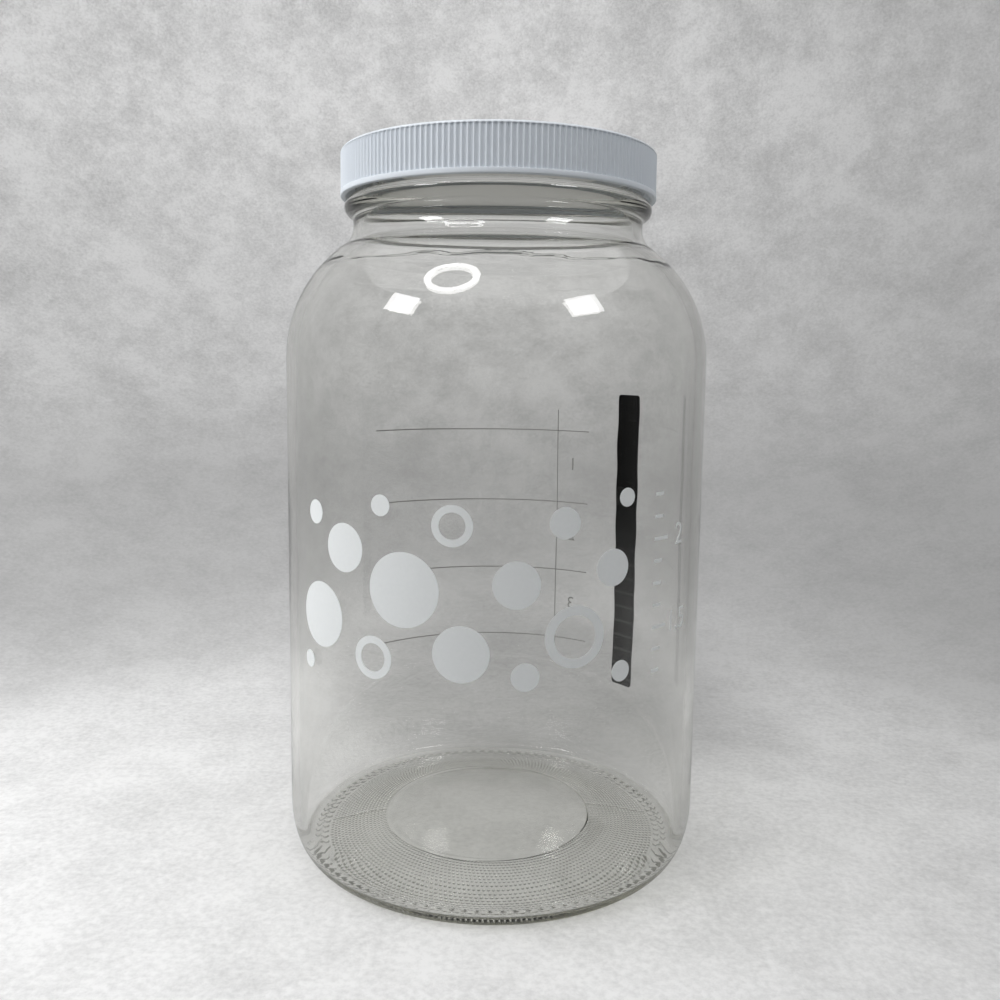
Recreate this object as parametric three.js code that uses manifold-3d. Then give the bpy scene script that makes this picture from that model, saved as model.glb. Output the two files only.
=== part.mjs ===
import * as THREE from 'three';
import { mergeVertices } from 'three/addons/utils/BufferGeometryUtils.js';
import Module from 'manifold-3d';

// Wide-mouth glass brewing jar of about one gallon, with a ribbed screw cap, the cap's sealing liner and a
// stick-on thermometer strip. Millimetres, +Z up. The origin lies on the jar's axis in the plane that the jar
// stands on, and the front faces -Y.

// Glass body
const bodyDiameter = 154;
const glassHeight = 254.5;
const wallThickness = 3.5;

// Base: a flat standing ring round a bottom that rises softly to a level disc, with the inside following it
const heelInset = 8.5;
const heelHeight = 19;
const standingRingWidth = 4;
const bottomPushUp = 4.8;
const bottomDiscDiameter = 75.6;
const bottomThickness = 4.5;
const innerHeelReach = 6;

// Shoulder and neck
const shoulderRadius = 49.5;
const neckFilletRadius = 8.5;
const neckLength = 3.6;

// Mouth and finish, the part of the glass that the cap screws on to
const mouthDiameter = 98.6;
const finishWall = 2.8;
const finishHeight = 13.9;
const lipRadius = 1;
const beadReach = 3.2;
const beadSectionRadius = 3.3;
const beadSpan = 80;

// Room between the finish and the cap for the two screw threads
const threadDepth = 2.3;
const threadClearance = 0.8;

// Screw cap, with concave grip flutes between narrow lands
const capSkirtWall = 2;
const capTopThickness = 1.5;
const capEdgeRadius = 1.7;
const capToBeadGap = 0.2;
const capLowerBand = 1.8;
const gripFluteCount = 184;
const gripFluteDepth = 0.45;
const gripFluteRoot = 0.5;
const gripLandShare = 1 / 3;

// Liner and the bead inside the skirt that keeps it in the cap
const linerThickness = 1;
const linerEdgeClearance = 0.3;
const linerBeadReach = 0.9;
const linerBeadHeight = 1.2;
const linerBeadGap = 0.3;

// Thermometer strip, turned about the jar's axis from the front
const stripWidth = 12;
const stripLength = 127;
const stripThickness = 0.35;
const stripGlueGap = 0.2;
const stripFoot = 42.5;
const stripTurn = THREE.MathUtils.degToRad(129.8);

// Facets of the round forms
const roundSteps = 56;
const longCurveSteps = 8;
const curveSteps = 6;
const filletSteps = 4;
const lipSteps = 3;
const weldDistance = 1e-4;

// Radii that several pieces share
const bodyRadius = bodyDiameter / 2;
const mouthRadius = mouthDiameter / 2;
const finishRadius = mouthRadius + finishWall;
const neckRadius = mouthRadius + wallThickness;
const capBoreRadius = finishRadius + threadDepth + threadClearance;
const capRadius = capBoreRadius + capSkirtWall;
const linerRadius = capBoreRadius - linerEdgeClearance;

// Heights that several pieces share
const beadTop = glassHeight - finishHeight;
const linerBottom = glassHeight;
const linerTop = linerBottom + linerThickness;

const wasm = await Module();
wasm.setup();

function toSolid(geometry) {
  const bare = geometry.clone();
  bare.deleteAttribute('normal');
  bare.deleteAttribute('uv');
  const merged = mergeVertices(bare, weldDistance);
  return new wasm.Manifold(new wasm.Mesh({
    numProp: 3,
    vertProperties: new Float32Array(merged.attributes.position.array),
    triVerts: new Uint32Array(merged.index.array),
  }));
}

function toGeometry(solid) {
  const mesh = solid.getMesh();
  const geometry = new THREE.BufferGeometry();
  geometry.setAttribute('position', new THREE.BufferAttribute(mesh.vertProperties, 3));
  geometry.setIndex(new THREE.BufferAttribute(mesh.triVerts, 1));
  geometry.computeVertexNormals();
  return geometry;
}

function corner(radius, height) {
  return new THREE.Vector2(radius, height);
}

// Revolves a profile of (radius, height) points about Z.
function revolve(profile) {
  const geometry = new THREE.LatheGeometry(profile, roundSteps);
  geometry.rotateX(Math.PI / 2);
  return geometry;
}

// Points of an elliptic stretch of a profile, angles in degrees from the outward direction.
function sweep(centreRadius, centreHeight, reach, rise, fromDegrees, toDegrees, steps) {
  const points = [];
  for (let i = 0; i <= steps; i++) {
    const angle = THREE.MathUtils.degToRad(THREE.MathUtils.lerp(fromDegrees, toDegrees, i / steps));
    points.push(corner(centreRadius + reach * Math.cos(angle), centreHeight + rise * Math.sin(angle)));
  }
  return points;
}

function round(centreRadius, centreHeight, radius, fromDegrees, toDegrees, steps) {
  return sweep(centreRadius, centreHeight, radius, radius, fromDegrees, toDegrees, steps);
}

// Points of a soft step between two levels of a profile, level at both ends.
function softStep(from, to, steps) {
  const points = [];
  for (let i = 0; i <= steps; i++) {
    const share = i / steps;
    const eased = THREE.MathUtils.smoothstep(share, 0, 1);
    const radius = THREE.MathUtils.lerp(from.x, to.x, share);
    points.push(corner(radius, THREE.MathUtils.lerp(from.y, to.y, eased)));
  }
  return points;
}

// The glass: up the outside from the middle of the bottom, over the rim and down the inside.
function glassProfile() {
  const ringOuter = bodyRadius - heelInset;
  const ringInner = ringOuter - standingRingWidth;
  const discRadius = bottomDiscDiameter / 2;
  const innerRadius = bodyRadius - wallThickness;
  const innerFloorRadius = innerRadius - innerHeelReach;
  const innerHeelRise = heelHeight - bottomThickness;
  const innerDiscRadius = discRadius + innerFloorRadius - ringInner;
  const innerDiscHeight = bottomPushUp + bottomThickness;

  const beadHeight = beadTop - beadSectionRadius;
  const beadCentre = neckRadius + beadReach - beadSectionRadius;
  const filletHeight = beadHeight - beadSectionRadius - neckLength;
  const filletCentre = neckRadius + neckFilletRadius;
  const shoulderCentre = bodyRadius - shoulderRadius;
  const centresApart = filletCentre - shoulderCentre;
  const shoulderRise = Math.sqrt((shoulderRadius + neckFilletRadius) ** 2 - centresApart ** 2);
  const shoulderHeight = filletHeight - shoulderRise;
  const meeting = THREE.MathUtils.radToDeg(Math.atan2(shoulderRise, centresApart));

  const lipHeight = glassHeight - lipRadius;
  const innerFillet = neckFilletRadius + wallThickness;
  const innerShoulder = shoulderRadius - wallThickness;

  return [
    corner(0, bottomPushUp),
    ...softStep(corner(discRadius, bottomPushUp), corner(ringInner, 0), curveSteps),
    ...sweep(ringOuter, heelHeight, heelInset, heelHeight, -90, 0, longCurveSteps),
    ...round(shoulderCentre, shoulderHeight, shoulderRadius, 0, meeting, longCurveSteps),
    ...round(filletCentre, filletHeight, neckFilletRadius, 180 + meeting, 180, filletSteps).slice(1),
    corner(neckRadius, beadHeight - beadSectionRadius),
    ...round(beadCentre, beadHeight, beadSectionRadius, -beadSpan, beadSpan, longCurveSteps),
    corner(finishRadius, beadTop),
    ...round(finishRadius - lipRadius, lipHeight, lipRadius, 0, 90, lipSteps),
    ...round(mouthRadius + lipRadius, lipHeight, lipRadius, 90, 180, lipSteps),
    ...round(filletCentre, filletHeight, innerFillet, 180, 180 + meeting, filletSteps),
    ...round(shoulderCentre, shoulderHeight, innerShoulder, meeting, 0, longCurveSteps).slice(1),
    ...sweep(innerFloorRadius, heelHeight, innerHeelReach, innerHeelRise, 0, -90, curveSteps),
    ...softStep(
      corner(innerFloorRadius, bottomThickness),
      corner(innerDiscRadius, innerDiscHeight),
      curveSteps,
    ).slice(1),
    corner(0, innerDiscHeight),
  ];
}

function glassJar() {
  return revolve(glassProfile());
}

// The cap without its flutes: a skirt with a groove all round where they stand, and a rounded top edge.
function capShell(gripFoot, gripHead) {
  const capFoot = beadTop + capToBeadGap;
  const capHead = linerTop + capTopThickness;
  const grooveRadius = capRadius - gripFluteDepth - gripFluteRoot / 2;
  const beadHead = linerBottom - linerBeadGap;
  const beadMiddle = beadHead - linerBeadHeight / 2;
  const profile = [
    corner(0, linerTop),
    corner(capBoreRadius, linerTop),
    corner(capBoreRadius, beadHead),
    ...sweep(capBoreRadius, beadMiddle, linerBeadReach, linerBeadHeight / 2, 90, 270, curveSteps).slice(1),
    corner(capBoreRadius, capFoot),
    corner(capRadius, capFoot),
    corner(capRadius, gripFoot),
    corner(grooveRadius, gripFoot),
    corner(grooveRadius, gripHead),
    corner(capRadius, gripHead),
    ...round(capRadius - capEdgeRadius, capHead - capEdgeRadius, capEdgeRadius, 0, 90, curveSteps).slice(1),
    corner(0, capHead),
  ];
  return revolve(profile);
}

// A sleeve whose outside runs along each land and down to the floor of the flute beside it.
function gripFlutes(gripFoot, gripHead) {
  const pitch = (Math.PI * 2) / gripFluteCount;
  const outside = [];
  const addPoint = (radius, angle) => {
    outside.push(new THREE.Vector2(radius * Math.cos(angle), radius * Math.sin(angle)));
  };
  for (let i = 0; i < gripFluteCount; i++) {
    addPoint(capRadius, i * pitch);
    addPoint(capRadius, (i + gripLandShare) * pitch);
    addPoint(capRadius - gripFluteDepth, (i + (1 + gripLandShare) / 2) * pitch);
  }
  const sleeve = new THREE.Shape(outside);
  const hole = new THREE.Path();
  hole.absarc(0, 0, capRadius - gripFluteDepth - gripFluteRoot, 0, Math.PI * 2, true);
  sleeve.holes.push(hole);
  const geometry = new THREE.ExtrudeGeometry(sleeve, {
    depth: gripHead - gripFoot,
    bevelEnabled: false,
    curveSegments: roundSteps,
  });
  geometry.translate(0, 0, gripFoot);
  return geometry;
}

function screwCap() {
  const gripFoot = beadTop + capToBeadGap + capLowerBand;
  const gripHead = linerTop + capTopThickness - capEdgeRadius;
  const shell = toSolid(capShell(gripFoot, gripHead));
  const flutes = toSolid(gripFlutes(gripFoot, gripHead));
  return toGeometry(shell.add(flutes));
}

function capLiner() {
  return revolve([
    corner(0, linerBottom),
    corner(linerRadius, linerBottom),
    corner(linerRadius, linerTop),
    corner(0, linerTop),
  ]);
}

// A thin sheet that follows the curve of the wall, built at the front and turned to its place.
function thermometerStrip() {
  const glueRadius = bodyRadius + stripGlueGap;
  const halfAngle = stripWidth / 2 / glueRadius;
  const front = -Math.PI / 2;
  const sheet = new THREE.Shape();
  sheet.absarc(0, 0, glueRadius + stripThickness, front - halfAngle, front + halfAngle, false);
  sheet.absarc(0, 0, glueRadius, front + halfAngle, front - halfAngle, true);
  sheet.closePath();
  return new THREE.ExtrudeGeometry(sheet, {
    depth: stripLength,
    bevelEnabled: false,
    curveSegments: curveSteps,
  });
}

function piece(name, geometry, finish) {
  const mesh = new THREE.Mesh(geometry, new THREE.MeshStandardMaterial(finish));
  mesh.name = name;
  return mesh;
}

const clearGlass = { color: 0xdfe5df, roughness: 0.03, metalness: 0, transparent: true, opacity: 0.35 };
const whitePlastic = { color: 0xe3e7ec, roughness: 0.42, metalness: 0 };
const whiteFoam = { color: 0xf0efea, roughness: 0.85, metalness: 0 };
const blackFilm = { color: 0x121313, roughness: 0.4, metalness: 0 };

const jar = new THREE.Group();
jar.add(piece('glass_jar', glassJar(), clearGlass));
jar.add(piece('screw_cap', screwCap(), whitePlastic));
jar.add(piece('cap_liner', capLiner(), whiteFoam));

const strip = piece('thermometer_strip', thermometerStrip(), blackFilm);
strip.position.z = stripFoot;
strip.rotation.z = stripTurn;
jar.add(strip);

export default jar;
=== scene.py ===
import math

import bpy
from mathutils import Matrix, Vector, noise


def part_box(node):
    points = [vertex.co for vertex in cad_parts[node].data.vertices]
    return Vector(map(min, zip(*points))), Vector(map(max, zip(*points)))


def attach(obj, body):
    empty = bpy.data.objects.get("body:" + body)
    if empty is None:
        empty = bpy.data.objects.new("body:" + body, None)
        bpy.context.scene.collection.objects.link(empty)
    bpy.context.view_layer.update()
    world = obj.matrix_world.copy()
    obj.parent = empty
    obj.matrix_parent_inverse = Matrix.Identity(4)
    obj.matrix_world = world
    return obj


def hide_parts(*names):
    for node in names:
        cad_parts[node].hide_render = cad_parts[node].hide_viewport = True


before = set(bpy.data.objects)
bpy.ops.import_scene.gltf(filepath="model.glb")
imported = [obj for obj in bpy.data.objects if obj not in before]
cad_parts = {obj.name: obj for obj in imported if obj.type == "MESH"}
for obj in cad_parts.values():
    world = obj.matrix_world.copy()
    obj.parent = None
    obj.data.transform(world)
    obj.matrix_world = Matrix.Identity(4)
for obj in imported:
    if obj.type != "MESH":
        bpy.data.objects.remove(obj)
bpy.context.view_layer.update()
mm = 0.001  # the dictionaries below are in millimetres unless they say otherwise
fullTurn = 2 * math.pi
print("frame loaded:", ", ".join(sorted(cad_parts)))


# small modelling helpers
def deselectAll():
    if bpy.context.object and bpy.context.object.mode != "OBJECT":
        bpy.ops.object.mode_set(mode="OBJECT")
    bpy.ops.object.select_all(action="DESELECT")


def makeActive(piece):
    deselectAll()
    piece.select_set(True)
    bpy.context.view_layer.objects.active = piece


def arc(centreR, centreZ, reach, rise, fromDeg, toDeg, steps):
    points = []
    for i in range(steps + 1):
        a = math.radians(fromDeg + (toDeg - fromDeg) * i / steps)
        points.append((centreR + reach * math.cos(a), centreZ + rise * math.sin(a)))
    return points


def straight(start, end, steps):
    return [(start[0] + (end[0] - start[0]) * i / steps,
             start[1] + (end[1] - start[1]) * i / steps) for i in range(steps + 1)]


def smoothStep(x):
    x = min(max(x, 0.0), 1.0)
    return x * x * (3 - 2 * x)


# one vertex is pulled along the outline, which is left open in edit mode
def drawOutline(name, points):
    deselectAll()
    bpy.ops.mesh.primitive_plane_add(size=mm)
    piece = bpy.context.object
    piece.name = piece.data.name = name
    bpy.ops.object.mode_set(mode="EDIT")
    bpy.ops.mesh.select_mode(type="VERT")
    bpy.ops.mesh.select_all(action="SELECT")
    bpy.ops.mesh.merge(type="CENTER")
    bpy.ops.transform.translate(value=(points[0][0] * mm, 0, points[0][1] * mm))
    for (r0, z0), (r1, z1) in zip(points, points[1:]):
        step = ((r1 - r0) * mm, 0, (z1 - z0) * mm)
        bpy.ops.mesh.extrude_vertices_move(TRANSFORM_OT_translate={"value": step})
    return piece


def closeUp(piece):
    bpy.ops.mesh.select_all(action="SELECT")
    bpy.ops.mesh.remove_doubles(threshold=mm * 0.002)
    bpy.ops.mesh.dissolve_degenerate(threshold=mm * 0.001)
    bpy.ops.mesh.select_all(action="SELECT")
    bpy.ops.mesh.normals_make_consistent(inside=False)
    bpy.ops.object.mode_set(mode="OBJECT")
    return piece


def spinOutline(name, points, steps):
    piece = drawOutline(name, points)
    bpy.ops.mesh.select_all(action="SELECT")
    bpy.ops.mesh.spin(steps=steps, angle=fullTurn, center=(0, 0, 0), axis=(0, 0, 1))
    return closeUp(piece)


# moves every vertex by a rule of (radius, turn, height) in millimetres and radians
def reshapeRound(piece, rule):
    for v in piece.data.vertices:
        r = math.hypot(v.co.x, v.co.y) / mm
        a = math.atan2(v.co.y, v.co.x) % fullTurn
        r2, z2 = rule(r, a, v.co.z / mm)
        if r > 1e-6:
            v.co.x *= r2 / r
            v.co.y *= r2 / r
        v.co.z = z2 * mm
    piece.data.update()


def smoothShade(piece, degrees):
    makeActive(piece)
    bpy.ops.object.shade_smooth_by_angle(angle=math.radians(degrees))


# height of a screw thread above its wall, zero away from the ridge
def threadRise(thread, a, z):
    rise = 0.0
    for lap in range(3):
        t = (a - thread["startTurn"]) / fullTurn + lap - 1
        if 0 <= t <= thread["turns"]:
            away = abs(z - thread["foot"] - thread["pitch"] * t)
            flank = (thread["halfWidth"] - away) / (thread["halfWidth"] - thread["halfCrest"])
            run = min(t, thread["turns"] - t) / thread["runOut"]
            rise = max(rise, thread["depth"] * smoothStep(flank) * smoothStep(run))
    return rise


# shader helpers: a Wire is a socket that takes part in sums, a Finish is one material
class Wire:
    def __init__(self, tree, socket):
        self.tree = tree
        self.socket = socket

    def maths(self, operation, other):
        node = self.tree.nodes.new("ShaderNodeMath")
        node.operation = operation
        for socket, value in zip(node.inputs, (self, other)):
            if isinstance(value, Wire):
                self.tree.links.new(value.socket, socket)
            else:
                socket.default_value = value
        return Wire(self.tree, node.outputs[0])

    def __add__(self, other):
        return self.maths("ADD", other)

    def __sub__(self, other):
        return self.maths("SUBTRACT", other)

    def __mul__(self, other):
        return self.maths("MULTIPLY", other)

    def __gt__(self, other):
        return self.maths("GREATER_THAN", other)

    def __lt__(self, other):
        return self.maths("LESS_THAN", other)


class Finish:
    def __init__(self, name):
        self.material = bpy.data.materials.new(name)
        self.material.use_nodes = True
        self.tree = self.material.node_tree
        self.tree.nodes.clear()

    def node(self, kind, settings=None, sockets=None, out=0):
        node = self.tree.nodes.new("ShaderNode" + kind)
        for key, value in (settings or {}).items():
            if key == "stops":
                ramp = node.color_ramp
                while len(ramp.elements) < len(value):
                    ramp.elements.new(0.5)
                for element, (place, colour) in zip(ramp.elements, value):
                    element.position = place
                    element.color = colour
            else:
                setattr(node, key, value)
        for key, value in (sockets or {}).items():
            if isinstance(value, Wire):
                self.tree.links.new(value.socket, node.inputs[key])
            else:
                node.inputs[key].default_value = value
        return Wire(self.tree, node.outputs[out])

    def place(self):
        return self.node("TexCoord", out="Object")

    def along(self, axis):
        return self.node("SeparateXYZ", sockets={"Vector": self.place()}, out=axis)

    def radius(self):
        level = self.node("VectorMath", {"operation": "MULTIPLY"}, {0: self.place(), 1: (1, 1, 0)})
        return self.node("VectorMath", {"operation": "LENGTH"}, {0: level}, out="Value")

    def noise(self, size, detail=2.0, roughness=0.5):
        sockets = {"Vector": self.place(), "Scale": 1 / (size * mm)}
        sockets |= {"Detail": detail, "Roughness": roughness}
        return self.node("TexNoise", sockets=sockets)

    # 0 at the start, 1 at the end, or from another lowest value
    def fade(self, value, start, end, lowest=0.0, ease="LINEAR"):
        sockets = {"Value": value, "From Min": start, "From Max": end, "To Min": lowest}
        return self.node("MapRange", {"interpolation_type": ease}, sockets, out="Result")

    def larger(self, first, second):
        return self.node("Math", {"operation": "MAXIMUM"}, {0: first, 1: second})

    # the colour sockets of a Mix node have no names of their own, so they go by number
    def blend(self, factor, first, second):
        return self.node("Mix", {"data_type": "RGBA"}, {0: factor, 6: first, 7: second}, out=2)

    def bump(self, height, distance, strength=1.0):
        sockets = {"Height": height, "Distance": distance * mm, "Strength": strength}
        return self.node("Bump", sockets=sockets)

    def output(self, surface, volume=None):
        node = self.tree.nodes.new("ShaderNodeOutputMaterial")
        self.tree.links.new(surface.socket, node.inputs["Surface"])
        if volume:
            self.tree.links.new(volume.socket, node.inputs["Volume"])
        return self.material


def grey(value):
    return (value, value, value, 1)


def dress(piece, material):
    piece.data.materials.clear()
    piece.data.materials.append(material)


# camera, from the outlines of the cap, the shoulder and the base in the picture
cameraSet = {
    "distance": 0.3671, "height": 0.18216,  # metres from the axis and above the floor
    "pitch": 6.741, "roll": 0.7156, "yaw": 0.2916,  # degrees
    "focalPixels": 972.6, "axisRow": 478.5, "framePixels": 1000, "sensor": 36.0,
}


def addCamera(c):
    p, r, w = (math.radians(c[k]) for k in ("pitch", "roll", "yaw"))
    ahead = Vector((math.sin(w) * math.cos(p), math.cos(w) * math.cos(p), -math.sin(p)))
    level = Vector((math.cos(w), -math.sin(w), 0))
    upright = level.cross(ahead)
    across = level * math.cos(r) + upright * math.sin(r)
    up = upright * math.cos(r) - level * math.sin(r)
    deselectAll()
    bpy.ops.object.camera_add()
    camera = bpy.context.object
    camera.name = "photo_camera"
    turned = Matrix((across, up, -ahead)).transposed().to_4x4()
    camera.matrix_world = Matrix.Translation((0, -c["distance"], c["height"])) @ turned
    camera.data.sensor_width = c["sensor"]
    camera.data.lens = c["sensor"] * c["focalPixels"] / c["framePixels"]
    camera.data.shift_y = (c["axisRow"] - c["framePixels"] / 2) / c["framePixels"]
    camera.data.clip_start = 0.01
    bpy.context.scene.camera = camera


addCamera(cameraSet)
print("camera placed")


# the glass
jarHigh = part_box("glass_jar")[1]
glass = {
    "radius": jarHigh.x / mm, "rim": jarHigh.z / mm, "wall": 3.5,
    "heelInset": 8.5, "heelHeight": 19, "ringWidth": 4, "knurlDepth": 0.45,
    "pushUp": 4.8, "discRadius": 37.8, "crown": 2.8, "bottomThickness": 4.5,
    "innerHeelReach": 5, "innerHeelSquare": 0.5,
    "shoulder": 49.5, "neckFillet": 8.5, "neckLength": 3.6,
    "mouthRadius": 49.3, "finishWall": 2.8, "finishHeight": 13.9, "lip": 1.0,
    "beadReach": 3.2, "beadSection": 3.3,
    "spinSteps": 150, "fineCuts": 3,
}
dots = {
    "first": 37.8, "pitch": 1.3, "rows": 18, "meshRows": 15, "around": 200, "depth": 0.5, "shift": 2 / 3,
}
knurl = {"rows": (64.2, 67.2), "reach": 1.3, "around": 100}
seams = {"turns": (math.radians(7), math.radians(181)), "width": 0.6, "rise": 0.25,
         "ringX": -1.7, "ringRadius": 39.4, "ringWidth": 0.45, "ringRise": 0.22}
glassThread = {
    "foot": 245.1, "pitch": 5.08, "turns": 1.1, "startTurn": math.radians(200), "runOut": 0.08,
    "depth": 2.3, "halfWidth": 1.75, "halfCrest": 0.45,
}
ripple = {
    "broad": 0.11, "broadSize": 34.0, "broadTall": 1.4, "fine": 0.012, "fineSize": 7.0, "fineTall": 2.6,
    "floor": 0.1, "floorSize": 13.0, "floorReach": 12,
    "curtain": 214.6, "curtainWave": 1.6, "curtainFolds": 6.5, "curtainStep": 0.12, "curtainWidth": 0.9,
}


# the finer cuts that follow put a dot on every third row and column
def dotRadii():
    step = dots["pitch"] * (glass["fineCuts"] + 1) / 3
    return [dots["first"] + step * i for i in range(dots["meshRows"])]


def crownRise(r):
    return glass["crown"] * max(0.0, 1 - (r / glass["discRadius"]) ** 2)


def glassOutline(g):
    radius, rim, wall = g["radius"], g["rim"], g["wall"]
    ringOuter = radius - g["heelInset"]
    ringInner = ringOuter - g["ringWidth"]
    neck = g["mouthRadius"] + wall
    finish = g["mouthRadius"] + g["finishWall"]
    beadTop = rim - g["finishHeight"]
    beadZ = beadTop - g["beadSection"]
    filletZ = beadZ - g["beadSection"] - g["neckLength"]
    filletR = neck + g["neckFillet"]
    shoulderR = radius - g["shoulder"]
    apart = filletR - shoulderR
    climb = math.sqrt((g["shoulder"] + g["neckFillet"]) ** 2 - apart ** 2)
    shoulderZ = filletZ - climb
    meet = math.degrees(math.atan2(climb, apart))
    g["shoulderZ"], g["shoulderR"], g["beadTop"] = shoulderZ, shoulderR, beadTop
    land = g["knurlDepth"]

    def dishHeight(r):
        return land + (g["pushUp"] - land) * smoothStep((ringInner - r) / (ringInner - g["discRadius"]))

    outline = [(r, g["pushUp"] + crownRise(r)) for r in (0, 6, 12, 18, 24, 28, 32, 35.6, 36.7)]
    outline += [(r, dishHeight(r)) for r in dotRadii()]
    knurlFrom, knurlTo = knurl["rows"][0] - knurl["reach"], knurl["rows"][1] + knurl["reach"]
    outline += [(r, dishHeight(r)) for r, z in straight((knurlFrom, 0), (knurlTo, 0), 5)]
    outline += arc(ringOuter, g["heelHeight"], g["heelInset"], g["heelHeight"] - land, -86, 0, 18)
    outline += straight((radius, g["heelHeight"] + 4), (radius, shoulderZ - 2), 16)
    outline += arc(shoulderR, shoulderZ, g["shoulder"], g["shoulder"], 0, meet, 24)
    outline += arc(filletR, filletZ, g["neckFillet"], g["neckFillet"], 180 + meet, 180, 12)[1:]
    outline += [(neck, beadZ - g["beadSection"] - 0.5)]
    beadR = neck + g["beadReach"] - g["beadSection"]
    outline += arc(beadR, beadZ, g["beadSection"], g["beadSection"], -78, 78, 16)
    outline += straight((finish, beadTop + 0.3), (finish, rim - g["lip"] - 0.4), 24)
    outline += arc(finish - g["lip"], rim - g["lip"], g["lip"], g["lip"], 0, 90, 6)
    outline += arc(g["mouthRadius"] + g["lip"], rim - g["lip"], g["lip"], g["lip"], 90, 180, 6)
    outline += straight((g["mouthRadius"], rim - g["lip"] - 2), (g["mouthRadius"], filletZ + 2), 6)
    outline += arc(filletR, filletZ, g["neckFillet"] + wall, g["neckFillet"] + wall, 180, 180 + meet, 18)
    inside = g["shoulder"] - wall
    outline += arc(shoulderR, shoulderZ, inside, inside, meet, 38, 30)[1:]
    outline += arc(shoulderR, shoulderZ, inside, inside, 38, 0, 12)[1:]
    innerR = radius - wall
    floorR, floorZ, heelTop = innerR - g["innerHeelReach"], g["bottomThickness"], g["heelHeight"]
    outline += straight((innerR, shoulderZ - 2), (innerR, heelTop + 2), 30)
    for reach, rise in arc(0, 0, 1, 1, 0, 90, 16):
        reach, rise = max(reach, 0) ** g["innerHeelSquare"], rise ** g["innerHeelSquare"]
        outline.append((floorR + g["innerHeelReach"] * reach, heelTop - (heelTop - floorZ) * rise))
    for r, z in straight((floorR - 1, 0), (0, 0), 24):
        share = (floorR - r) / (floorR - g["discRadius"] - 3)
        outline.append((r, floorZ + g["pushUp"] * smoothStep(share) + crownRise(r * 0.9)))
    return outline


def outerRadius(z):
    g = glass
    if z < g["heelHeight"]:
        share = (g["heelHeight"] - max(z, 0)) / g["heelHeight"]
        return g["radius"] - g["heelInset"] + g["heelInset"] * math.sqrt(1 - share * share)
    if z < g["shoulderZ"]:
        return g["radius"]
    rise = min(z - g["shoulderZ"], g["shoulder"])
    return max(g["shoulderR"] + math.sqrt(g["shoulder"] ** 2 - rise ** 2), g["mouthRadius"] + g["wall"])


# stipple dots, knurl, thread and the uneven inside of blown glass
def glassSurface(r, a, z):
    g = glass
    if z < g["pushUp"] + 0.01 and dots["first"] - 1.2 < r < g["radius"] - g["heelInset"] + 0.5:
        row = (r - dots["first"]) / dots["pitch"]
        ring = math.hypot(r * math.cos(a) - seams["ringX"], r * math.sin(a)) - seams["ringRadius"]
        if row < dots["rows"] + 0.4 and ring > 0.2:
            u = abs(row - round(row))
            v = a / fullTurn * dots["around"] + dots["shift"] * round(row)
            v = abs(v - round(v))
            z -= dots["depth"] * max(0.0, 1 - 3 * u) * max(0.0, 1 - 3 * v)
            for seam in seams["turns"]:
                off = abs((a - seam + math.pi) % fullTurn - math.pi) * r
                z -= seams["rise"] * max(0.0, 1 - off / seams["width"])
        z -= seams["ringRise"] * max(0.0, 1 - abs(ring) / seams["ringWidth"])
        for i, middle in enumerate(knurl["rows"]):
            v = a / fullTurn * knurl["around"] + 0.5 * i
            v = (v - math.floor(v) - 0.5) * fullTurn * r / knurl["around"]
            away = math.hypot(r - middle, v) / knurl["reach"]
            z -= g["knurlDepth"] * math.sqrt(max(0.0, 1 - away * away))
        return r, max(z, 0.0)
    if g["beadTop"] < z < g["rim"] - g["lip"] and r > g["mouthRadius"] + g["finishWall"] * 0.6:
        return r + threadRise(glassThread, a, z), z
    floorEdge = g["discRadius"] + ripple["floorReach"]
    if r < floorEdge and z < g["heelHeight"]:
        if z < g["pushUp"] + crownRise(r) + 2:  # the underside
            return r, z
        spot = Vector((r * math.cos(a), r * math.sin(a), 0)) / ripple["floorSize"]
        edge = smoothStep((floorEdge - r) / (ripple["floorReach"] + 2))
        return r, z + ripple["floor"] * edge * noise.noise(spot)
    insideFoot = g["bottomThickness"] + 2
    if insideFoot < z < g["rim"] - 4 and r < outerRadius(z) - g["wall"] * 0.5:
        x, y = math.cos(a), math.sin(a)
        broad = g["radius"] / ripple["broadSize"]
        swell = noise.noise(Vector((x * broad, y * broad, z / ripple["broadSize"] / ripple["broadTall"])))
        fine = g["radius"] / ripple["fineSize"]
        streak = noise.noise(Vector((x * fine, y * fine, z / ripple["fineSize"] / ripple["fineTall"])))
        folds = ripple["curtainFolds"]
        hem = ripple["curtain"] + ripple["curtainWave"] * noise.noise(Vector((x * folds, y * folds, 4.2)))
        step = ripple["curtainStep"] * smoothStep((z - hem) / ripple["curtainWidth"] + 0.5)
        calm = smoothStep((z - insideFoot) / 16)
        return r - calm * (ripple["broad"] * swell + ripple["fine"] * streak) - step, z
    return r, z


def makeGlass():
    piece = spinOutline("jar_glass", glassOutline(glass), glass["spinSteps"])
    makeActive(piece)
    bpy.ops.object.mode_set(mode="EDIT")
    bpy.ops.mesh.select_mode(type="FACE")
    bpy.ops.mesh.select_all(action="DESELECT")
    bpy.ops.object.mode_set(mode="OBJECT")
    foot = knurl["rows"][1] + knurl["reach"]
    for face in piece.data.polygons:
        r = math.hypot(face.center.x, face.center.y) / mm
        low = face.center.z / mm < glass["pushUp"] + 0.1
        face.select = low and dots["first"] - 1 < r < foot
    bpy.ops.object.mode_set(mode="EDIT")
    bpy.ops.mesh.subdivide(number_cuts=glass["fineCuts"])
    bpy.ops.object.mode_set(mode="OBJECT")
    reshapeRound(piece, glassSurface)
    smoothShade(piece, 50)
    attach(piece, "jar")
    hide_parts("glass_jar")
    return piece


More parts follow.
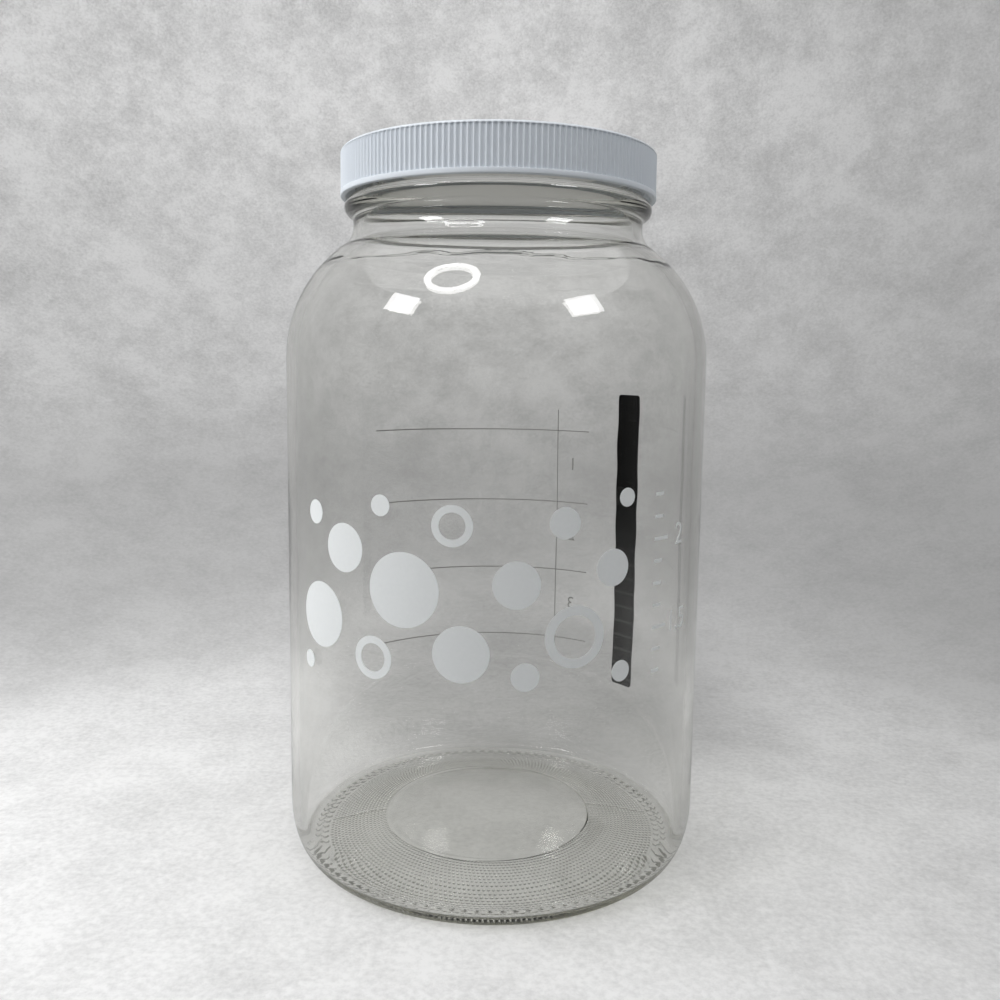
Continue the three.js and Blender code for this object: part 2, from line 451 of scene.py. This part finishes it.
def clearGlassFinish():
    f = Finish("clear_glass_blown")
    film = f.noise(60, 3)
    skin = f.noise(18, 1, 0.3)
    height = f.along("Z")
    scuff = f.fade(height, 4.5 * mm, 2 * mm) * (f.radius() > (glass["radius"] - glass["heelInset"]) * mm)
    base = height < (glass["heelHeight"] - 6) * mm
    surface = f.node("BsdfPrincipled", sockets={
        "Base Color": grey(0.99), "IOR": 1.5, "Transmission Weight": 1.0,
        "Roughness": (film > 0.62) * 0.006 + scuff * 0.3,
        "Normal": f.bump(skin, 0.02, 0.12),
    })
    wall = f.node("BsdfTransparent", sockets={"Color": grey(0.945)})
    # the stippled base spreads more light
    stipple = f.node("BsdfTransparent", sockets={"Color": grey(0.84)})
    clear = f.node("MixShader", sockets={0: base, 1: wall, 2: stipple})
    direct = f.node("LightPath", out="Is Shadow Ray") + f.node("LightPath", out="Is Diffuse Ray")
    mixed = f.node("MixShader", sockets={0: direct, 1: surface, 2: clear})
    tint = f.node("VolumeAbsorption", sockets={"Color": (0.80, 0.80, 0.60, 1), "Density": 14.0})
    return f.output(mixed, tint)


jarGlass = makeGlass()
dress(jarGlass, clearGlassFinish())
print("glass blown:", len(jarGlass.data.polygons), "faces")


# the cap
capLow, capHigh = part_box("screw_cap")
linerLow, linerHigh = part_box("cap_liner")
cap = {
    "radius": capHigh.x / mm, "foot": capLow.z / mm, "head": capHigh.z / mm, "top": linerHigh.z / mm,
    "skirtWall": 2.0, "edge": 1.25, "lowerBand": 1.8, "bandProud": 0.15,
    "ribs": 184, "columns": 6, "fluteDepth": 0.6, "fluteTop": 0.75,
    "linerBeadReach": 0.9, "linerBeadHeight": 1.2, "linerBeadGap": 0.3,
    "gateRadius": 2.1, "gateDip": 0.12, "footRound": 0.4, "innerRound": 0.3,
}
capThread = {
    "foot": glassThread["foot"] - glassThread["pitch"] / 2, "pitch": glassThread["pitch"], "turns": 1.1,
    "startTurn": glassThread["startTurn"], "runOut": 0.08,
    "depth": 1.6, "halfWidth": 1.3, "halfCrest": 0.35,
}


def capOutline(c):
    bore = c["radius"] - c["skirtWall"]
    beadHead = linerLow.z / mm - c["linerBeadGap"]
    beadMid = beadHead - c["linerBeadHeight"] / 2
    ribFoot = c["foot"] + c["lowerBand"]
    corner, foot = c["innerRound"], c["footRound"]
    outline = [(0, c["top"]), (bore * 0.5, c["top"]), (bore * 0.9, c["top"]), (bore - corner, c["top"])]
    outline += [(bore, c["top"] - corner), (bore, beadHead)]
    outline += arc(bore, beadMid, c["linerBeadReach"], c["linerBeadHeight"] / 2, 90, 270, 6)[1:]
    outline += straight((bore, beadMid - c["linerBeadHeight"] / 2 - 0.4), (bore, c["foot"] + 0.6), 22)
    outline += arc(bore + foot, c["foot"] + foot, foot, foot, 180, 270, 3)
    band = c["radius"] + c["bandProud"]
    outline += arc(band - foot, c["foot"] + foot, foot, foot, 270, 360, 4)
    outline += [(band, ribFoot - 0.2), (band - 0.05, ribFoot), (c["radius"], ribFoot + 0.14)]
    fluteHead = c["head"] - c["fluteTop"]
    edgeZ = c["head"] - c["edge"]
    outline += straight((c["radius"], ribFoot + 1), (c["radius"], edgeZ - 1), 8)
    outline += straight((c["radius"], edgeZ - 0.7), (c["radius"], edgeZ - 0.15), 3)
    outline += arc(c["radius"] - c["edge"], edgeZ, c["edge"], c["edge"], 0, 90, 10)
    outline += [(bore * 0.9, c["head"]), (bore * 0.5, c["head"]), (2.0, c["head"]), (0, c["head"])]
    c["ribFoot"], c["fluteHead"] = ribFoot, fluteHead
    return outline


# one flute with half a land on each side, then spun round the cap
def makeCap():
    wedge = fullTurn / cap["ribs"]
    piece = drawOutline("cap_shell", capOutline(cap))
    bpy.ops.mesh.select_all(action="SELECT")
    bpy.ops.mesh.spin(steps=cap["columns"], angle=wedge, center=(0, 0, 0), axis=(0, 0, 1))
    bpy.ops.object.mode_set(mode="OBJECT")
    pitch = cap["radius"] * wedge

    def flute(r, a, z):
        if r < cap["radius"] - cap["edge"] or z <= cap["ribFoot"] + 0.01 or z > cap["fluteHead"]:
            return r, z
        across = min(abs((a % wedge) / wedge - 0.5) * 2, 1.0)  # 0 in the flute, 1 on the rib
        arch = cap["fluteHead"] - pitch / 3 * (1 - math.sqrt(1 - across * across))
        return r - cap["fluteDepth"] * (1 - across ** 2.5) * smoothStep((arch - z) / 0.3), z

    reshapeRound(piece, flute)
    makeActive(piece)
    bpy.ops.object.mode_set(mode="EDIT")
    bpy.ops.mesh.select_all(action="SELECT")
    rest = fullTurn - wedge
    bpy.ops.mesh.spin(steps=cap["ribs"] - 1, dupli=True, angle=rest, center=(0, 0, 0), axis=(0, 0, 1))
    closeUp(piece)

    def screw(r, a, z):
        inside = r < cap["radius"] - cap["skirtWall"] * 0.8 and r > cap["radius"] - cap["skirtWall"] - 0.1
        if inside and cap["foot"] + 0.5 < z < linerLow.z / mm - 1:
            return r - threadRise(capThread, a, z), z
        if z > cap["head"] - 0.01 and r < cap["gateRadius"]:
            return r, z - cap["gateDip"] * (1 - r / cap["gateRadius"])  # the mould's gate mark
        return r, z

    reshapeRound(piece, screw)
    smoothShade(piece, 40)
    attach(piece, "cap")
    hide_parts("screw_cap")
    return piece


def whitePlasticFinish():
    f = Finish("white_plastic_moulded")
    cloud = f.noise(22, 3)
    grain = f.noise(0.5, 2, 0.6)
    radius, height = f.radius(), f.along("Z")
    # painted shade: the inside of the cap is greyed, where little light reaches
    inside = (radius < (cap["radius"] - cap["skirtWall"] * 0.6) * mm) * (height < (cap["head"] - 0.8) * mm)
    colour = f.blend(cloud, (0.72, 0.77, 0.83, 1), (0.77, 0.815, 0.865, 1))
    colour = f.blend(inside * 0.25, colour, grey(0.3))
    rib = cap["radius"] * mm
    fluteShade = f.fade(radius, rib, rib - cap["fluteDepth"] * mm) * (height < cap["fluteHead"] * mm)
    # painted shade: the flutes grey towards their depth, where less light reaches
    colour = f.blend(fluteShade * 0.16, colour, (0.40, 0.44, 0.50, 1))
    surface = f.node("BsdfPrincipled", sockets={
        "Base Color": colour, "Roughness": cloud * 0.12 + 0.34, "IOR": 1.49,
        "Subsurface Weight": 0.12, "Subsurface Scale": 0.0012, "Subsurface Radius": (1, 1, 1),
        "Normal": f.bump(grain, 0.02, 0.25),
    })
    return f.output(surface)


capShell = makeCap()
dress(capShell, whitePlasticFinish())
print("cap moulded:", len(capShell.data.polygons), "faces")


# the liner
liner = {"radius": linerHigh.x / mm, "foot": linerLow.z / mm, "head": linerHigh.z / mm, "round": 0.3,
         "seatGap": 0.05, "press": 0.12}


def makeLiner():
    n = liner
    low = n["foot"] + n["seatGap"]
    ring = (glass["mouthRadius"], glass["mouthRadius"] + glass["finishWall"])
    outline = [(0, low), (ring[0] - 3, low), (ring[0] - 1.4, low)]
    outline += straight((ring[0] - 0.4, low + n["press"]), (ring[1] + 0.3, low + n["press"]), 3)
    outline += [(ring[1] + 0.9, low)]
    outline += arc(n["radius"] - n["round"], low + n["round"], n["round"], n["round"], -90, 0, 4)
    outline += arc(n["radius"] - n["round"], n["head"] - n["round"], n["round"], n["round"], 0, 90, 4)
    outline += [(n["radius"] * 0.5, n["head"]), (0, n["head"])]
    piece = spinOutline("liner_disc", outline, 128)
    smoothShade(piece, 40)
    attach(piece, "liner")
    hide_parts("cap_liner")
    return piece


def foamFinish():
    f = Finish("liner_foam_cells")
    cells = f.node("TexVoronoi", sockets={"Vector": f.place(), "Scale": 1 / (0.7 * mm)}, out="Distance")
    tone = f.noise(8, 3)
    surface = f.node("BsdfPrincipled", sockets={
        "Base Color": f.blend(tone, (0.84, 0.835, 0.81, 1), (0.91, 0.905, 0.885, 1)),
        "Roughness": tone * 0.15 + 0.72, "Normal": f.bump(cells, 0.08, 0.4),
    })
    return f.output(surface)


linerDisc = makeLiner()
dress(linerDisc, foamFinish())
print("liner cut")


# ink and film: drawn flat, with x along the wall and z up, then wrapped round the jar
def flatBar(x, z, wide, high):
    deselectAll()
    bpy.ops.mesh.primitive_plane_add(size=1, location=(x * mm, 0, z * mm), rotation=(math.pi / 2, 0, 0))
    bar = bpy.context.object
    bar.scale = (wide * mm, high * mm, 1)
    bpy.ops.object.transform_apply(location=True, rotation=True, scale=True)
    return bar


def flatDisc(x, z, radius, hole=0.0, corners=56):
    deselectAll()
    spot = {"location": (x * mm, 0, z * mm), "rotation": (math.pi / 2, 0, 0)}
    bpy.ops.mesh.primitive_circle_add(vertices=corners, radius=radius * mm, fill_type="NGON", **spot)
    disc = bpy.context.object
    bpy.ops.object.transform_apply(location=True, rotation=True, scale=True)
    if hole:
        bpy.ops.object.mode_set(mode="EDIT")
        bpy.ops.mesh.select_mode(type="FACE")
        bpy.ops.mesh.select_all(action="SELECT")
        bpy.ops.mesh.inset(thickness=(radius - hole) * mm)
        bpy.ops.mesh.delete(type="FACE")
        bpy.ops.object.mode_set(mode="OBJECT")
    return disc


def flatNumber(text, x, z, high):
    deselectAll()
    bpy.ops.object.text_add(location=(x * mm, 0, z * mm), rotation=(math.pi / 2, 0, 0))
    words = bpy.context.object
    words.data.body = text
    words.data.size = high * mm * 1.4
    words.data.align_x = "CENTER"
    words.data.align_y = "CENTER"
    words.data.resolution_u = 6
    bpy.ops.object.convert(target="MESH")
    words = bpy.context.object
    bpy.ops.object.transform_apply(location=True, rotation=True, scale=True)
    return words


def wrapInk(name, flats, inner, thickness, turn, sliceWidth=2.0):
    deselectAll()
    for flat in flats:
        flat.select_set(True)
    bpy.context.view_layer.objects.active = flats[0]
    if len(flats) > 1:
        bpy.ops.object.join()
    piece = bpy.context.object
    piece.name = piece.data.name = name
    xs = [v.co.x for v in piece.data.vertices]
    bpy.ops.object.mode_set(mode="EDIT")
    at = (math.floor(min(xs) / (sliceWidth * mm)) + 0.5) * sliceWidth * mm
    while at < max(xs):
        bpy.ops.mesh.select_all(action="SELECT")
        bpy.ops.mesh.bisect(plane_co=(at, 0, 0), plane_no=(1, 0, 0))
        at += sliceWidth * mm
    bpy.ops.mesh.select_all(action="SELECT")
    bpy.ops.mesh.extrude_region_move(TRANSFORM_OT_translate={"value": (0, -thickness * mm, 0)})
    closeUp(piece)
    for v in piece.data.vertices:
        depth = inner * mm - v.co.y
        a = turn + v.co.x / (inner * mm)
        v.co.x, v.co.y = depth * math.sin(a), -depth * math.cos(a)
    piece.data.update()
    smoothShade(piece, 30)
    return piece


inkBed = 0.03  # ink and glue start this far inside the glass, so that no air lies between
frontPrint = {
    "thickness": 0.1, "scaleX": 57.0, "litre": 58.9, "firstLitre": 67.4,
    "tickHigh": 1.1, "tickWide": 4, "markWide": 7, "numberX": 71.5, "numberHigh": 7.5,
    "bubbles": (  # x along the wall, height, radius, hole
        (-64, 99, 11, 0), (-52, 123, 8, 0), (-40, 89, 7, 4.6), (-29, 112, 12, 0), (-10, 93, 9, 0),
        (-13, 133, 6.5, 4.2), (7, 115, 7.5, 0), (10, 86, 4.5, 0), (22, 134, 5, 0), (26, 98, 10, 7),
        (39, 119, 6, 0), (43, 85, 3.5, 0), (-67, 133, 4, 0), (-37, 138, 3.4, 0), (44, 141, 3, 0),
        (-72, 82, 3, 0),
    ),
}
backTable = {
    "thickness": 0.08, "line": 0.45, "rows": (152.6, 120.4, 89.2, 57.8), "left": -45.5, "right": 59.6,
    "columnX": -29.8, "columnFoot": 48.0, "columnHead": 162.0, "numberX": -37.5, "numberHigh": 5.5,
    "numberDrop": 15,
}


def makeFrontPrint(p):
    flats = []
    for i in range(9):  # a fill scale in eighths of a litre
        litres = 1.25 + i / 8
        marked = litres in (1.5, 2.0)
        wide = p["markWide"] if marked else p["tickWide"]
        z = p["firstLitre"] + p["litre"] * (litres - 1)
        flats.append(flatBar(p["scaleX"] + wide / 2, z, wide, p["tickHigh"]))
        if marked:
            flats.append(flatNumber(f"{litres:g}", p["numberX"], z, p["numberHigh"]))
    for x, z, radius, hole in p["bubbles"]:
        flats.append(flatDisc(x, z, radius, hole))
    return wrapInk("front_print", flats, glass["radius"] - inkBed, p["thickness"], 0.0)


def makeBackTable(t):
    middle = (t["left"] + t["right"]) / 2
    flats = [flatBar(middle, z, t["right"] - t["left"], t["line"]) for z in t["rows"]]
    high = t["columnHead"] - t["columnFoot"]
    flats.append(flatBar(t["columnX"], t["columnFoot"] + high / 2, t["line"], high))
    for i, z in enumerate(t["rows"][:3]):
        flats.append(flatNumber(str(i + 1), t["numberX"], z - t["numberDrop"], t["numberHigh"]))
    return wrapInk("back_table", flats, glass["radius"] - inkBed, t["thickness"], math.pi)


def inkFinish(name, dark, light, rough):
    f = Finish(name)
    mottle = f.noise(1.2, 4, 0.6)
    # its mirror image in the back wall stays faint
    mirrored = f.node("LightPath", out="Glossy Depth") > 0.5
    colour = f.blend(mirrored, f.blend(mottle, dark, light), grey(0.36))
    surface = f.node("BsdfPrincipled", sockets={
        "Base Color": colour, "Roughness": mottle * 0.2 + rough, "Normal": f.bump(mottle, 0.02, 0.3),
    })
    return f.output(surface)


frontInk = makeFrontPrint(frontPrint)
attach(frontInk, "jar")
dress(frontInk, inkFinish("white_ink", (0.85, 0.88, 0.885, 1), (0.91, 0.935, 0.94, 1), 0.45))
backInk = makeBackTable(backTable)
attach(backInk, "jar")
dress(backInk, inkFinish("grey_ink", grey(0.32), grey(0.42), 0.5))
print("prints wrapped")


# the thermometer strip
stripLow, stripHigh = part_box("thermometer_strip")
stripMiddle = (stripLow + stripHigh) / 2
strip = {
    "turn": math.atan2(stripMiddle.x, -stripMiddle.y), "foot": stripLow.z / mm, "head": stripHigh.z / mm,
    "width": 12.0, "thickness": 0.42, "corner": 1.2, "slack": 0.55, "slackSize": 11.0, "slackStep": 2,
    "cells": 20, "firstNumber": 4, "step": 2, "margin": 3, "numberHigh": 3.2, "lineHigh": 0.2,
    "inkThickness": 0.05, "inkBed": 0.01,
}


def makeStrip(s):
    film = flatBar(0, (s["foot"] + s["head"]) / 2, s["width"], s["head"] - s["foot"])
    makeActive(film)
    bpy.ops.object.mode_set(mode="EDIT")
    bpy.ops.mesh.select_mode(type="VERT")
    bpy.ops.mesh.select_all(action="SELECT")
    bpy.ops.mesh.bevel(offset=s["corner"] * mm, segments=5, affect="VERTICES")
    at = s["foot"] + 2 * s["slackStep"]
    while at < s["head"] - s["margin"]:
        bpy.ops.mesh.select_all(action="SELECT")
        bpy.ops.mesh.bisect(plane_co=(0, 0, at * mm), plane_no=(0, 0, 1))
        at += s["slackStep"]
    bpy.ops.object.mode_set(mode="OBJECT")
    for v in film.data.vertices:  # its edges were not cut quite straight
        spot = Vector((math.copysign(3, v.co.x), 0.5, v.co.z / mm / s["slackSize"]))
        v.co.x += s["slack"] * mm * noise.noise(spot)
    piece = wrapInk("strip_film", [film], glass["radius"] - inkBed, s["thickness"], s["turn"], 1.0)
    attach(piece, "jar")
    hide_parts("thermometer_strip")
    return piece


def makeStripScale(s):
    flats = []
    cell = (s["head"] - s["foot"] - 2 * s["margin"]) / s["cells"]
    for i in range(s["cells"]):
        z = s["foot"] + s["margin"] + cell * (i + 0.5)
        flats.append(flatNumber(str(s["firstNumber"] + s["step"] * i), 0, z, s["numberHigh"]))
        flats.append(flatBar(0, z + cell / 2, s["width"] - s["margin"], s["lineHigh"]))
    outside = glass["radius"] - inkBed + s["thickness"] - s["inkBed"]
    piece = wrapInk("strip_scale", flats, outside, s["inkThickness"], s["turn"], 1.5)
    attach(piece, "jar")
    return piece


# black, with faint marks of its cells towards the foot
def filmFinish():
    f = Finish("black_film_glossy")
    wear = f.noise(5, 3, 0.6)
    span = (strip["head"] - strip["foot"]) * mm
    up = (f.along("Z") - strip["foot"] * mm) * (1 / span)
    haze = f.fade(up, 0.55, 0.2)
    cell = f.node("Math", {"operation": "PINGPONG"}, {0: up, 1: 0.5 / strip["cells"]})
    line = (cell * (2.0 * strip["cells"]) > 0.82) * 0.75 + 0.25
    colour = f.blend(haze * line * (wear * 0.8 + 0.6), grey(0.001), grey(0.045))
    surface = f.node("BsdfPrincipled", sockets={
        "Base Color": colour, "Roughness": wear * 0.2 + 0.22, "Specular IOR Level": 0.05,
        "Normal": f.bump(f.noise(9, 2), 0.12, 0.4),
    })
    return f.output(surface)


stripFilm = makeStrip(strip)
dress(stripFilm, filmFinish())
stripScale = makeStripScale(strip)
dress(stripScale, inkFinish("scale_ink", (0.35, 0.45, 0.40, 1), (0.50, 0.60, 0.52, 1), 0.4))
print("strip stuck on")


# studio
studio = {
    "floorRadius": 0.26, "wallRadius": 0.85, "wallHeight": 0.95, "forward": 0.1,  # metres
    "paintedLightTones": (
        (0.0, 0.83), (0.012, 0.64), (0.05, 0.53), (0.14, 0.515), (0.28, 0.70), (0.5, 0.82), (0.75, 0.98),
    ),
    "toneHeight": 0.6, "worldTone": 0.75,
    "mirrorDim": 0.9, "bounceDim": 0.62,
    "frontY": (0.1, -0.25), "besideX": (0.25, 0.5), "besideY": (0.42, 0.02),
    "mottle": 0.4, "mottleTone": 0.31, "fibres": 0.3, "floorTop": 0.06, "floorMottle": 0.7,
    "rightShade": 0.43, "rightTone": 0.25, "rightX": (0.04, 0.45),
    "poolAt": (0.02, 0.16, 0.0), "poolReach": (0.17, 0.06), "poolShade": 0.42, "poolTone": 0.1,
    "boxes": (  # name, direction from the shoulder, metres away, wide, high, watts, seen in the glass
        ("box_left", (-0.71, -0.39, 0.59), 0.8, 0.215, 0.16, 1.25, True),
        ("box_right", (0.66, -0.44, 0.61), 0.8, 0.245, 0.165, 1.2, True),
        ("fill_left", (-0.95, 0.0, 0.3), 0.5, 0.3, 0.3, 1.2, False),
    ),
    "aim": (0.0, -0.068, 0.2), "ringAt": (-0.33, -0.35, 0.88), "ringAway": 0.75,
    "ringRadius": 0.142, "ringTube": 0.019, "ringGlow": 13.0,
}


# pale to the eye and through the glass, the room in front of it dimmer where it is mirrored or bounced
def paperFinish(s):
    f = Finish("studio_paper")
    x, y, z = (f.along(axis) for axis in "XYZ")
    # painted light and shade: the paper is darkest low on the wall just above the floor and lighter
    # towards the top
    stops = [(place, grey(tone)) for place, tone in s["paintedLightTones"]]
    tone = f.node("ValToRGB", {"stops": stops}, {"Fac": z * (1 / s["toneHeight"])})
    cloth = f.fade(f.noise(60, 9, 0.8), 0.38, 0.62)
    cloth = cloth * f.fade(z, 0.0, s["floorTop"], s["floorMottle"])  # plainer on the floor
    fibres = f.fade(f.noise(2.6, 3, 0.65), 0.3, 0.7) - 0.5
    mottled = f.blend(cloth * s["mottle"] + fibres * s["fibres"], tone, grey(s["mottleTone"]))
    shaded = f.blend(f.fade(x, *s["rightX"]) * s["rightShade"], mottled, grey(s["rightTone"]))
    fromPool = f.node("VectorMath", {"operation": "DISTANCE"}, {0: f.place(), 1: s["poolAt"]}, out="Value")
    pool = f.fade(fromPool, *s["poolReach"], ease="SMOOTHSTEP")
    # the jar's own soft shade, behind it
    shaded = f.blend(pool * s["poolShade"], shaded, grey(s["poolTone"]))
    before = f.fade(y, *s["frontY"])
    out = f.node("Math", {"operation": "ABSOLUTE"}, {0: x})
    beside = f.fade(out, *s["besideX"]) * f.fade(y, *s["besideY"])
    mirrored = f.larger(before, beside) * s["mirrorDim"] * (f.node("LightPath", out="Glossy Depth") > 0.5)
    bounced = (f.node("LightPath", out="Diffuse Depth") > 0.5) * before * s["bounceDim"]
    dimmed = f.larger(mirrored, bounced)
    seen = f.blend(dimmed, shaded, grey(0))
    return f.output(f.node("BsdfDiffuse", sockets={"Color": seen}))


def makeStudio(s):
    inner, outer, high = (s[k] / mm for k in ("floorRadius", "wallRadius", "wallHeight"))
    outline = [(0, 0), (inner * 0.4, 0)]
    outline += arc(inner, outer - inner, outer - inner, outer - inner, -90, 0, 24)
    outline += [(outer, high)]
    bowl = drawOutline("studio_sweep", outline)
    bpy.ops.mesh.select_all(action="SELECT")
    bpy.ops.mesh.spin(steps=96, angle=fullTurn, center=(0, 0, 0), axis=(0, 0, 1))
    bpy.ops.mesh.select_all(action="SELECT")
    bpy.ops.mesh.normals_make_consistent(inside=True)
    bpy.ops.transform.translate(value=(0, -s["forward"], 0))
    bpy.ops.object.mode_set(mode="OBJECT")
    smoothShade(bowl, 60)
    dress(bowl, paperFinish(s))

    aim = Vector(s["aim"])
    for name, way, away, wide, tall, watts, mirrored in s["boxes"]:
        deselectAll()
        bpy.ops.object.light_add(type="AREA", location=aim + Vector(way).normalized() * away)
        box = bpy.context.object
        box.name = name
        box.data.shape = "RECTANGLE"
        box.data.size, box.data.size_y = wide, tall
        box.data.energy = watts
        box.rotation_mode = "QUATERNION"
        box.rotation_quaternion = Vector(way).to_track_quat("Z", "Y")
        box.visible_camera = False
        box.visible_glossy = box.visible_transmission = mirrored

    deselectAll()
    bpy.ops.mesh.primitive_torus_add(
        location=aim + Vector(s["ringAt"]) * s["ringAway"], major_segments=96, minor_segments=12,
        rotation=Vector(s["ringAt"]).to_track_quat("Z", "Y").to_euler(),
        major_radius=s["ringRadius"], minor_radius=s["ringTube"])
    ring = bpy.context.object
    ring.name = "ring_lamp"
    f = Finish("ring_lamp_glow")
    dress(ring, f.output(f.node("Emission", sockets={"Color": grey(1), "Strength": s["ringGlow"]})))
    ring.visible_camera = False

    world = bpy.data.worlds.new("studio_room")
    world.use_nodes = True
    world.node_tree.nodes["Background"].inputs["Color"].default_value = grey(s["worldTone"])
    bpy.context.scene.world = world


makeStudio(studio)
scene = bpy.context.scene
scene.view_settings.view_transform = "Standard"
scene.cycles.max_bounces = 24
scene.cycles.transmission_bounces = 24
scene.cycles.glossy_bounces = 8
scene.cycles.transparent_max_bounces = 16
scene.cycles.caustics_refractive = False
scene.cycles.caustics_reflective = False
print("studio lit")
